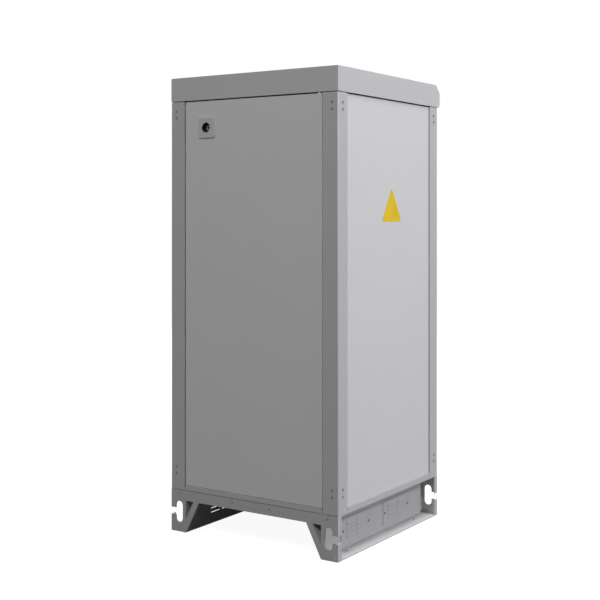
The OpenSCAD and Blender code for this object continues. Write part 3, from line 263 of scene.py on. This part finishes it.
def skin_group(name, gloss, **extra):
    """An empty shader group with a skin's sockets, and its two end nodes."""
    group = bpy.data.node_groups.new(name, "ShaderNodeTree")
    group.interface.new_socket("Vector", in_out="INPUT", socket_type="NodeSocketVector")
    tone = group.interface.new_socket("Tone", in_out="INPUT", socket_type="NodeSocketColor")
    tone.default_value = MID_GREY
    for label, value in {"Gloss": gloss, **extra}.items():
        level = group.interface.new_socket(label, in_out="INPUT", socket_type="NodeSocketFloat")
        level.default_value = value
    group.interface.new_socket("Color", in_out="OUTPUT", socket_type="NodeSocketColor")
    group.interface.new_socket("Roughness", in_out="OUTPUT", socket_type="NodeSocketFloat")
    group.interface.new_socket("Height", in_out="OUTPUT", socket_type="NodeSocketFloat")
    return group, group.nodes.new("NodeGroupInput"), group.nodes.new("NodeGroupOutput")


def close_skin(group, enter, leave, tints, gloss_shift, height):
    """Leads the tinted tone, the shifted gloss and the height to a skin's outputs."""
    factor = maths(group, "MULTIPLY", *tints)
    gloss = maths(group, "ADD", enter.outputs["Gloss"], gloss_shift)
    group.links.new(tinted(group, enter.outputs["Tone"], factor), leave.inputs["Color"])
    group.links.new(gloss, leave.inputs["Roughness"])
    group.links.new(height, leave.inputs["Height"])
    return group


def powder_coat_group():
    """Powder coat: pebbled skin, faint clouds in the tone and in the gloss."""
    group, enter, leave = skin_group("powder_coat_skin", 0.45)
    vector = enter.outputs["Vector"]
    clouds = noise(group, vector, CLOUD_SCALE, detail=3.0)
    specks = noise(group, vector, SPECK_SCALE, detail=1.0)
    pebbles = noise(group, vector, PEBBLE_SCALE)
    tints = spread(group, clouds, PAINT_TINT), spread(group, specks, PAINT_TINT)
    return close_skin(group, enter, leave, tints, spread(group, clouds, PAINT_GLOSS_SHIFT), pebbles)


def streaked_metal_group():
    """Rolled metal: long fine streaks, a mottled plating and uneven gloss."""
    group, enter, leave = skin_group("streaked_metal_skin", 0.35, Mottle=40.0)
    vector = enter.outputs["Vector"]
    stretch = group.nodes.new("ShaderNodeMapping")
    stretch.inputs["Scale"].default_value = STREAK_STRETCH
    group.links.new(vector, stretch.inputs["Vector"])
    streaks = noise(group, stretch.outputs["Vector"], STREAK_SCALE)
    patches = noise(group, vector, enter.outputs["Mottle"])
    tints = spread(group, streaks, STREAK_TINT), spread(group, patches, PLATING_TINT)
    return close_skin(group, enter, leave, tints, spread(group, patches, METAL_GLOSS_SHIFT), streaks)


def moulded_group():
    """Moulded plastic or rubber: fine spark texture and slight flow marks."""
    group, enter, leave = skin_group("moulded_skin", 0.5, Grain=1100.0)
    vector = enter.outputs["Vector"]
    grain = noise(group, vector, enter.outputs["Grain"])
    flow = noise(group, vector, FLOW_SCALE)
    tints = spread(group, flow, FLOW_TINT), spread(group, grain, GRAIN_TINT)
    return close_skin(group, enter, leave, tints, spread(group, grain, MOULDED_GLOSS_SHIFT), grain)


POWDER_COAT = powder_coat_group()
STREAKED_METAL = streaked_metal_group()
MOULDED = moulded_group()


# Materials

def finish(name, group, tone, gloss, relief, metallic=0.0, shine=0.5, **extra):
    """A material whose colour, gloss and relief come from one skin group on Object coordinates."""
    material = bpy.data.materials.new(name)
    material.use_nodes = True
    tree = material.node_tree
    shader = tree.nodes["Principled BSDF"]
    shader.inputs["Metallic"].default_value = metallic
    shader.inputs["Specular IOR Level"].default_value = shine
    place = tree.nodes.new("ShaderNodeTexCoord")
    skin = tree.nodes.new("ShaderNodeGroup")
    skin.node_tree = group
    skin.inputs["Tone"].default_value = (*tone, 1.0)
    skin.inputs["Gloss"].default_value = gloss
    for label, value in extra.items():
        skin.inputs[label].default_value = value
    bump = tree.nodes.new("ShaderNodeBump")
    bump.inputs["Strength"].default_value = 1.0
    bump.inputs["Distance"].default_value = relief
    tree.links.new(place.outputs["Object"], skin.inputs["Vector"])
    tree.links.new(skin.outputs["Color"], shader.inputs["Base Color"])
    tree.links.new(skin.outputs["Roughness"], shader.inputs["Roughness"])
    tree.links.new(skin.outputs["Height"], bump.inputs["Height"])
    tree.links.new(bump.outputs["Normal"], shader.inputs["Normal"])
    return material


def paint(name, tone, gloss=PAINT_GLOSS, shine=0.5):
    """A powder-coated finish."""
    return finish(name, POWDER_COAT, tone, gloss, PAINT_RELIEF, shine=shine)


def metal(name, tone, gloss, mottle, metallic=1.0):
    """A plated or bare metal finish, its mottle in patches per metre."""
    return finish(name, STREAKED_METAL, tone, gloss, METAL_RELIEF, metallic, Mottle=mottle)


panel_paint = paint("panel_powder_coat", PANEL_TONE)
post_paint = paint("post_powder_coat", POST_TONE)
roof_paint = paint("roof_powder_coat", ROOF_TONE)
base_paint = paint("base_powder_coat", BASE_TONE, gloss=0.60, shine=0.05)
# The top frame and gland plate get painted shade, near black
frame_shade_paint = paint("frame_dark_shade", FRAME_SHADE_TONE, gloss=0.60, shine=0.1)
lock_paint = paint("lock_powder_coat", LOCK_TONE, gloss=0.40)
zinc_plate = metal("zinc_plated_steel", ZINC_TONE, gloss=0.38, mottle=55.0)
dark_screw = metal("blackened_steel", SCREW_TONE, gloss=0.45, mottle=300.0, metallic=0.2)
bare_copper = metal("rolled_copper", COPPER_TONE, gloss=0.30, mottle=30.0)
bush_bronze = metal("bush_bronze", BRONZE_TONE, gloss=0.34, mottle=200.0)
breaker_grey = finish("breaker_moulding", MOULDED, BREAKER_TONE, gloss=0.52, relief=0.00005)
toggle_black = finish("toggle_moulding", MOULDED, TOGGLE_TONE, gloss=0.40, relief=0.00003)
# The door gasket's own black, also used for the base's seam strips as painted shade
gasket_and_seam_shade_black = finish("gasket_and_seam_shade_foam", MOULDED, GASKET_AND_SEAM_SHADE_TONE, gloss=0.82, relief=0.00020, Grain=500.0)
resin_red = finish("insulator_resin", MOULDED, RESIN_TONE, gloss=0.42, relief=NYLON_RELIEF)
gland_grey = finish("gland_nylon", MOULDED, GLAND_TONE, gloss=0.48, relief=NYLON_RELIEF)
# The plugs' darker grey is painted shade of the rail holes
plug_shade_grey = finish("plug_painted_shade", MOULDED, PLUG_SHADE_TONE, gloss=0.50, relief=NYLON_RELIEF)
core_black = finish("lock_core_black", MOULDED, CORE_TONE, gloss=0.38, relief=0.00003, Grain=1600.0)
plate_yellow = finish(
    "plate_enamel", MOULDED, PLATE_TONE, gloss=0.40, relief=0.00002, shine=0.15, Grain=700.0,
)


def lock_radius(tree):
    """Distance of a point from the lock's axis, on Object coordinates."""
    place = tree.nodes.new("ShaderNodeTexCoord")
    centred = vector_maths(tree, "SUBTRACT", place.outputs["Object"], (LOCK_AXIS_X, 0.0, LOCK_AXIS_Z))
    across = vector_maths(tree, "MULTIPLY", centred.outputs["Vector"], (1.0, 0.0, 1.0))
    return vector_maths(tree, "LENGTH", across.outputs["Vector"]).outputs["Value"]


def recoloured(material, mask, tone):
    """Gives a finish another tone where a mask is 1."""
    tree = material.node_tree
    skin = next(node for node in tree.nodes if node.type == "GROUP")
    mix = tree.nodes.new("ShaderNodeMix")
    mix.data_type = "RGBA"
    colours = [socket for socket in mix.inputs if socket.type == "RGBA"]
    colours[0].default_value = skin.inputs["Tone"].default_value
    colours[1].default_value = (*tone, 1.0)
    tree.links.new(mask, mix.inputs["Factor"])
    result = next(socket for socket in mix.outputs if socket.type == "RGBA")
    tree.links.new(result, skin.inputs["Tone"])


def finish_lock():
    """The cup is painted black inside as shade in its recess, and the core's hub has a bright ring."""
    cup = lock_paint.node_tree
    # The cup's inside is painted near black: painted shade in the recess
    recoloured(lock_paint, maths(cup, "LESS_THAN", lock_radius(cup), CUP_RADIUS), CUP_SHADE_TONE)
    core = core_black.node_tree
    radius = lock_radius(core)
    outside = maths(core, "GREATER_THAN", radius, RING_RADII[0])
    ring = maths(core, "MULTIPLY", outside, maths(core, "LESS_THAN", radius, RING_RADII[1]))
    recoloured(core_black, ring, RING_TONE)


finish_lock()


# CAD nodes: finish and softened edges

NODE_FINISH = {
    panel_paint: ["front_door", "door_frame", "left_panel", "right_panel", "rear_panel"],
    post_paint: [
        "bottom_frame",
        "post_front_left", "post_front_right", "post_rear_left", "post_rear_right",
    ],
    frame_shade_paint: ["top_frame", "gland_plate"],
    roof_paint: ["roof"],
    base_paint: [
        "base_front", "base_rear", "base_left", "base_right",
        "vent_cover_front_left", "vent_cover_rear_left",
        "vent_cover_front_right", "vent_cover_rear_right",
    ],
    lock_paint: ["lock_body"],
    core_black: ["lock_core"],
    dark_screw: ["post_screws", "vent_screws"],
    zinc_plate: [
        "base_bolts", "roof_nuts", "panel_screws", "door_stiffener", "hinge_pins", "lock_nut",
        "lock_cam", "lock_cam_screw", "mounting_plate", "plate_rails", "rail_bolts",
        "inner_screws",
    ],
    bush_bronze: ["hinge_bushes"],
    bare_copper: [f"phase_bar_{n}" for n in PHASES] + [
        "main_links", "feeder_links", "neutral_bar", "earth_bar",
    ],
    breaker_grey: ["main_breaker"] + [f"feeder_breaker_{n}" for n in FEEDERS],
    toggle_black: ["main_toggle"] + [f"feeder_toggle_{n}" for n in FEEDERS],
    gasket_and_seam_shade_black: ["door_gasket"],
    resin_red: ["busbar_supports", "bar_standoffs"],
    gland_grey: ["cable_glands", "gland_nuts"],
}
MOULDED_FINISHES = (breaker_grey, toggle_black, resin_red)
PLAIN_EDGED = (dark_screw, zinc_plate, bush_bronze, core_black, gland_grey, gasket_and_seam_shade_black)
CUT_EDGED = ("base_front", "base_rear")   # cut plate, whose edges stay sharp


def soften_edges(node, width):
    """Rounds a node's sharp edges with live modifiers, so that they catch a line of light."""
    weld = node.modifiers.new("weld", "WELD")
    weld.merge_threshold = MERGE_DISTANCE
    flat = node.modifiers.new("flat_faces", "DECIMATE")
    flat.decimate_type = "DISSOLVE"
    flat.angle_limit = FLAT_ANGLE
    bevel = node.modifiers.new("edge_radius", "BEVEL")
    bevel.width = width
    bevel.segments = 2
    bevel.profile = 0.5
    bevel.limit_method = "ANGLE"
    bevel.angle_limit = SHARP_ANGLE
    bevel.use_clamp_overlap = False
    bevel.harden_normals = True


def dress_nodes():
    """Gives every CAD node its finish, and the sheet and moulded ones a small edge radius."""
    for material, names in NODE_FINISH.items():
        for name in names:
            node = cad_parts[name]
            node.data.materials.clear()
            node.data.materials.append(material)
            if material in MOULDED_FINISHES:
                soften_edges(node, MOULDED_EDGE)
            elif material not in PLAIN_EDGED and name not in CUT_EDGED:
                soften_edges(node, SHEET_EDGE)


dress_nodes()


# Pieces of the scene

def piece_from(bm, name, material, body):
    """Turns a bmesh into a finished piece that rides on a body."""
    bmesh.ops.recalc_face_normals(bm, faces=bm.faces[:])
    mesh = bpy.data.meshes.new(name)
    bm.to_mesh(mesh)
    bm.free()
    mesh.materials.append(material)
    piece = bpy.data.objects.new(name, mesh)
    bpy.context.scene.collection.objects.link(piece)
    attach(piece, body)


def triangle_face(bm, width, height, foot, corner, depth):
    """A rounded triangle in the plane X = depth, its foot level and its apex up."""
    points = [
        (depth, PLATE_CENTRE_Y - width / 2, foot),
        (depth, PLATE_CENTRE_Y + width / 2, foot),
        (depth, PLATE_CENTRE_Y, foot + height),
    ]
    corners = [bm.verts.new(point) for point in points]
    bm.faces.new(corners)
    bmesh.ops.bevel(
        bm, geom=corners, offset=corner, offset_type="OFFSET", affect="VERTICES",
        segments=6, profile=0.5, material=-1,
    )


def triangular_plate():
    """The thin yellow plate on the right side panel."""
    panel_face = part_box("right_panel")[1].x
    bm = bmesh.new()
    triangle_face(bm, PLATE_WIDTH, PLATE_HEIGHT, PLATE_FOOT_Z, PLATE_CORNER, panel_face)
    made = bmesh.ops.extrude_face_region(bm, geom=bm.faces[:])
    raised = [item for item in made["geom"] if isinstance(item, bmesh.types.BMVert)]
    bmesh.ops.translate(bm, verts=raised, vec=(PLATE_THICKNESS, 0.0, 0.0))
    front = max(bm.faces, key=lambda face: face.calc_center_median().x)
    bmesh.ops.inset_region(bm, faces=[front], thickness=PLATE_BEAD, depth=-BEAD_RISE)
    piece_from(bm, "side_plate", plate_yellow, "cabinet")


def flat_head(bm, place, outward, sides, radius, rise, edge):
    """A head that faces along Y and stands on a face at its place, its front edge rounded."""
    upright = Matrix.Rotation(math.radians(90.0), 3, "X")
    rim = bmesh.ops.create_circle(bm, cap_ends=True, radius=radius, segments=sides)["verts"]
    bmesh.ops.rotate(bm, verts=rim, cent=(0.0, 0.0, 0.0), matrix=upright)
    bmesh.ops.translate(bm, verts=rim, vec=(place[0], place[1] - outward * HEAD_SINK, place[2]))
    raised = bmesh.ops.extrude_face_region(bm, geom=list(rim[0].link_faces))["geom"]
    front = [item for item in raised if isinstance(item, bmesh.types.BMVert)]
    bmesh.ops.translate(bm, verts=front, vec=(0.0, outward * (HEAD_SINK + rise), 0.0))
    border = [item for item in raised if isinstance(item, bmesh.types.BMEdge)]
    bmesh.ops.bevel(
        bm, geom=border, offset=edge, offset_type="OFFSET", affect="EDGES",
        segments=3, profile=0.5, material=-1,
    )


def rail_hole_shade_plugs():
    """Grey plugs in the spare rail holes of both end plates, darker than the plates as painted shade of the
    holes.
    """
    bm = bmesh.new()
    front_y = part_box("base_front")[0].y
    rear_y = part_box("base_rear")[1].y
    for x in PLUG_PLACES_X:
        for y, outward in ((front_y, -1.0), (rear_y, 1.0)):
            flat_head(bm, (x, y, PLUG_PLACE_Z), outward, PLUG_SIDES, PLUG_RADIUS, PLUG_RISE, PLUG_EDGE)
    piece_from(bm, "rail_hole_shade_plugs", plug_shade_grey, "cabinet")


def link_bolt_places(phase):
    """Both ends of one phase's main link and of its feeder links."""
    low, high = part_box(f"phase_bar_{phase}")
    bar_z = (low.z + high.z) / 2
    step = phase - MIDDLE_PHASE
    main_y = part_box("main_links")[0].y
    feeder_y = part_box("feeder_links")[0].y
    places = [(step * MAIN_POLE_PITCH, main_y, z) for z in (bar_z, MAIN_TERMINAL_Z)]
    for feeder_x in FEEDER_PLACES_X:
        x = feeder_x + step * FEEDER_POLE_PITCH
        places += [(x, feeder_y, z) for z in (bar_z, FEEDER_TERMINAL_Z)]
    return places


def link_bolts():
    """A hexagon bolt at both ends of every copper link."""
    bm = bmesh.new()
    for phase in PHASES:
        for place in link_bolt_places(phase):
            flat_head(bm, place, -1.0, BOLT_SIDES, BOLT_RADIUS, BOLT_RISE, HEAD_EDGE)
    piece_from(bm, "link_bolts", zinc_plate, "cabinet")


def from_middle(index, count, pitch):
    """Place of one of a row of copies, measured from the row's middle."""
    return (index - (count - 1) / 2) * pitch


def terminal_screws():
    """Round screws in the holes of the neutral and earth bars."""
    bm = bmesh.new()
    for bar in ("neutral_bar", "earth_bar"):
        low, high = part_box(bar)
        for k in range(TERMINAL_COUNT):
            x = from_middle(k, TERMINAL_COUNT, TERMINAL_PITCH)
            place = (x, low.y, (low.z + high.z) / 2)
            flat_head(bm, place, -1.0, TERMINAL_SIDES, TERMINAL_RADIUS, TERMINAL_RISE, HEAD_EDGE)
    piece_from(bm, "terminal_screws", zinc_plate, "cabinet")


def shade_strip(bm, near_y, far_y):
    """One straight black strip between two depths."""
    made = bmesh.ops.create_cube(bm, size=1.0)
    size = (2 * SEAM_SHADE_HALF_LENGTH, abs(far_y - near_y), SEAM_SHADE_TOP_Z - SEAM_SHADE_FOOT_Z)
    centre = (0.0, (near_y + far_y) / 2, (SEAM_SHADE_TOP_Z + SEAM_SHADE_FOOT_Z) / 2)
    bmesh.ops.scale(bm, verts=made["verts"], vec=size)
    bmesh.ops.translate(bm, verts=made["verts"], vec=centre)


def base_seam_shade():
    """Black strips in the seam between the base's end plates and the cabinet: painted shade of the gap."""
    bm = bmesh.new()
    front_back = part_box("base_front")[0].y + PLATE_STOCK
    rear_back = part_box("base_rear")[1].y - PLATE_STOCK
    shade_strip(bm, front_back, front_back + SEAM_SHADE_DEPTH)
    shade_strip(bm, rear_back, rear_back - SEAM_SHADE_DEPTH)
    # The strips' black is painted shade in the seam
    piece_from(bm, "base_seam_shade", gasket_and_seam_shade_black, "cabinet")


def louvre_ramp(bm, outward, face_x, end_y, lip_z, along):
    """One end of a hood: a ramp from the cover's face up to the hood's edge."""
    root_x = face_x - outward * RAMP_SINK
    top = bm.verts.new((root_x, end_y, lip_z + HOOD_HEIGHT))
    lip = bm.verts.new((face_x + outward * HOOD_DEPTH, end_y, lip_z))
    root = bm.verts.new((root_x, end_y, lip_z))
    foot = bm.verts.new((root_x, end_y + along * RAMP_LENGTH, lip_z))
    for corners in ((top, lip, foot), (lip, root, foot), (root, top, foot), (top, root, lip)):
        bm.faces.new(corners)


def cover_ramps(bm, cover, outward):
    """Both ends of every hood on one vent cover."""
    low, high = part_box(cover)
    hood_x = high.x if outward > 0 else low.x
    face_x = hood_x - outward * HOOD_DEPTH
    for row in range(LOUVRE_ROWS):
        middle_z = (low.z + high.z) / 2 + from_middle(row, LOUVRE_ROWS, LOUVRE_PITCH_Z)
        for column in range(LOUVRE_COLUMNS):
            middle_y = (low.y + high.y) / 2 + from_middle(column, LOUVRE_COLUMNS, LOUVRE_PITCH_Y)
            for along in (-1.0, 1.0):
                end_y = middle_y + along * LOUVRE_LENGTH / 2
                louvre_ramp(bm, outward, face_x, end_y, middle_z - LOUVRE_SLOT / 2, along)


def louvre_ends():
    """The pressed ends of all hoods on the four vent covers."""
    bm = bmesh.new()
    for end in ("front", "rear"):
        cover_ramps(bm, f"vent_cover_{end}_left", -1.0)
        cover_ramps(bm, f"vent_cover_{end}_right", 1.0)
    piece_from(bm, "louvre_ends", base_paint, "cabinet")


triangular_plate()
rail_hole_shade_plugs()
base_seam_shade()
louvre_ends()
link_bolts()
terminal_screws()


# Floor, light and camera

def seen_rays(tree):
    """1 for rays that show the floor or the surround, 0 for rays that only carry light."""
    path = tree.nodes.new("ShaderNodeLightPath")
    mirrored = maths(tree, "MAXIMUM", path.outputs["Is Glossy Ray"], path.outputs["Is Transmission Ray"])
    return maths(tree, "MAXIMUM", path.outputs["Is Camera Ray"], mirrored)


def grey_diffuse(tree, level):
    """A plain diffuse shader of one grey."""
    node = tree.nodes.new("ShaderNodeBsdfDiffuse")
    node.inputs["Color"].default_value = (level, level, level, 1.0)
    return node.outputs[0]


def floor_finish():
    """White with its shadows where the floor is seen, a plain bounce elsewhere."""
    material = bpy.data.materials.new("pale_floor")
    material.use_nodes = True
    tree = material.node_tree
    tree.nodes.clear()
    out = tree.nodes.new("ShaderNodeOutputMaterial")
    glow = tree.nodes.new("ShaderNodeEmission")
    glow.inputs["Strength"].default_value = FLOOR_GLOW
    white = tree.nodes.new("ShaderNodeAddShader")
    pick = tree.nodes.new("ShaderNodeMixShader")
    tree.links.new(grey_diffuse(tree, FLOOR_SHADE), white.inputs[0])
    tree.links.new(glow.outputs[0], white.inputs[1])
    tree.links.new(seen_rays(tree), pick.inputs["Fac"])
    tree.links.new(grey_diffuse(tree, FLOOR_BOUNCE), pick.inputs[1])
    tree.links.new(white.outputs[0], pick.inputs[2])
    tree.links.new(pick.outputs[0], out.inputs["Surface"])
    return material


def pale_floor():
    """A floor that reads as white and still takes the cabinet's shadow."""
    bm = bmesh.new()
    bmesh.ops.create_grid(bm, x_segments=1, y_segments=1, size=FLOOR_SIZE / 2)
    mesh = bpy.data.meshes.new("floor")
    bm.to_mesh(mesh)
    bm.free()
    mesh.materials.append(floor_finish())
    floor = bpy.data.objects.new("floor", mesh)
    bpy.context.scene.collection.objects.link(floor)


def white_surround():
    """White where it is seen, a plain even light elsewhere."""
    world = bpy.data.worlds.new("surround")
    bpy.context.scene.world = world
    world.use_nodes = True
    tree = world.node_tree
    background = tree.nodes["Background"]
    background.inputs["Color"].default_value = (1.0, 1.0, 1.0, 1.0)
    lit = maths(tree, "MULTIPLY", seen_rays(tree), 1.0 - SURROUND_LIGHT)
    tree.links.new(maths(tree, "ADD", lit, SURROUND_LIGHT), background.inputs["Strength"])


def area_lamp(name, place, aim, size, watts, colour):
    """A rectangular lamp at a place, turned to face a point."""
    lamp = bpy.data.lights.new(name, "AREA")
    lamp.shape = "RECTANGLE"
    lamp.size, lamp.size_y = size
    lamp.energy = watts
    lamp.color = colour
    holder = bpy.data.objects.new(name, lamp)
    holder.location = place
    holder.rotation_euler = (Vector(aim) - Vector(place)).to_track_quat("-Z", "Y").to_euler()
    bpy.context.scene.collection.objects.link(holder)


def photo_camera():
    """The photograph's view."""
    lens = bpy.data.cameras.new("photo_camera")
    lens.lens = CAMERA_LENS_MM
    lens.sensor_width = CAMERA_SENSOR_MM
    lens.shift_y = CAMERA_SHIFT_Y
    camera = bpy.data.objects.new("photo_camera", lens)
    camera.location = CAMERA_PLACE
    camera.rotation_euler = [math.radians(angle) for angle in CAMERA_TURN_DEG]
    bpy.context.scene.collection.objects.link(camera)
    bpy.context.scene.camera = camera


pale_floor()
white_surround()
area_lamp("key", KEY_PLACE, KEY_AIM, KEY_SIZE, KEY_WATTS, SIDE_COLOUR)
area_lamp("side_fill", FILL_PLACE, FILL_AIM, FILL_SIZE, FILL_WATTS, SIDE_COLOUR)
area_lamp("overhead_strip", STRIP_PLACE, STRIP_AIM, STRIP_SIZE, STRIP_WATTS, SIDE_COLOUR)
area_lamp("front_softbox", FRONT_PLACE, FRONT_AIM, FRONT_SIZE, FRONT_WATTS, LAMP_WHITE)
area_lamp("back_fill", BACK_PLACE, BACK_AIM, BACK_SIZE, BACK_WATTS, LAMP_WHITE)
photo_camera()
bpy.context.scene.view_settings.view_transform = "Standard"
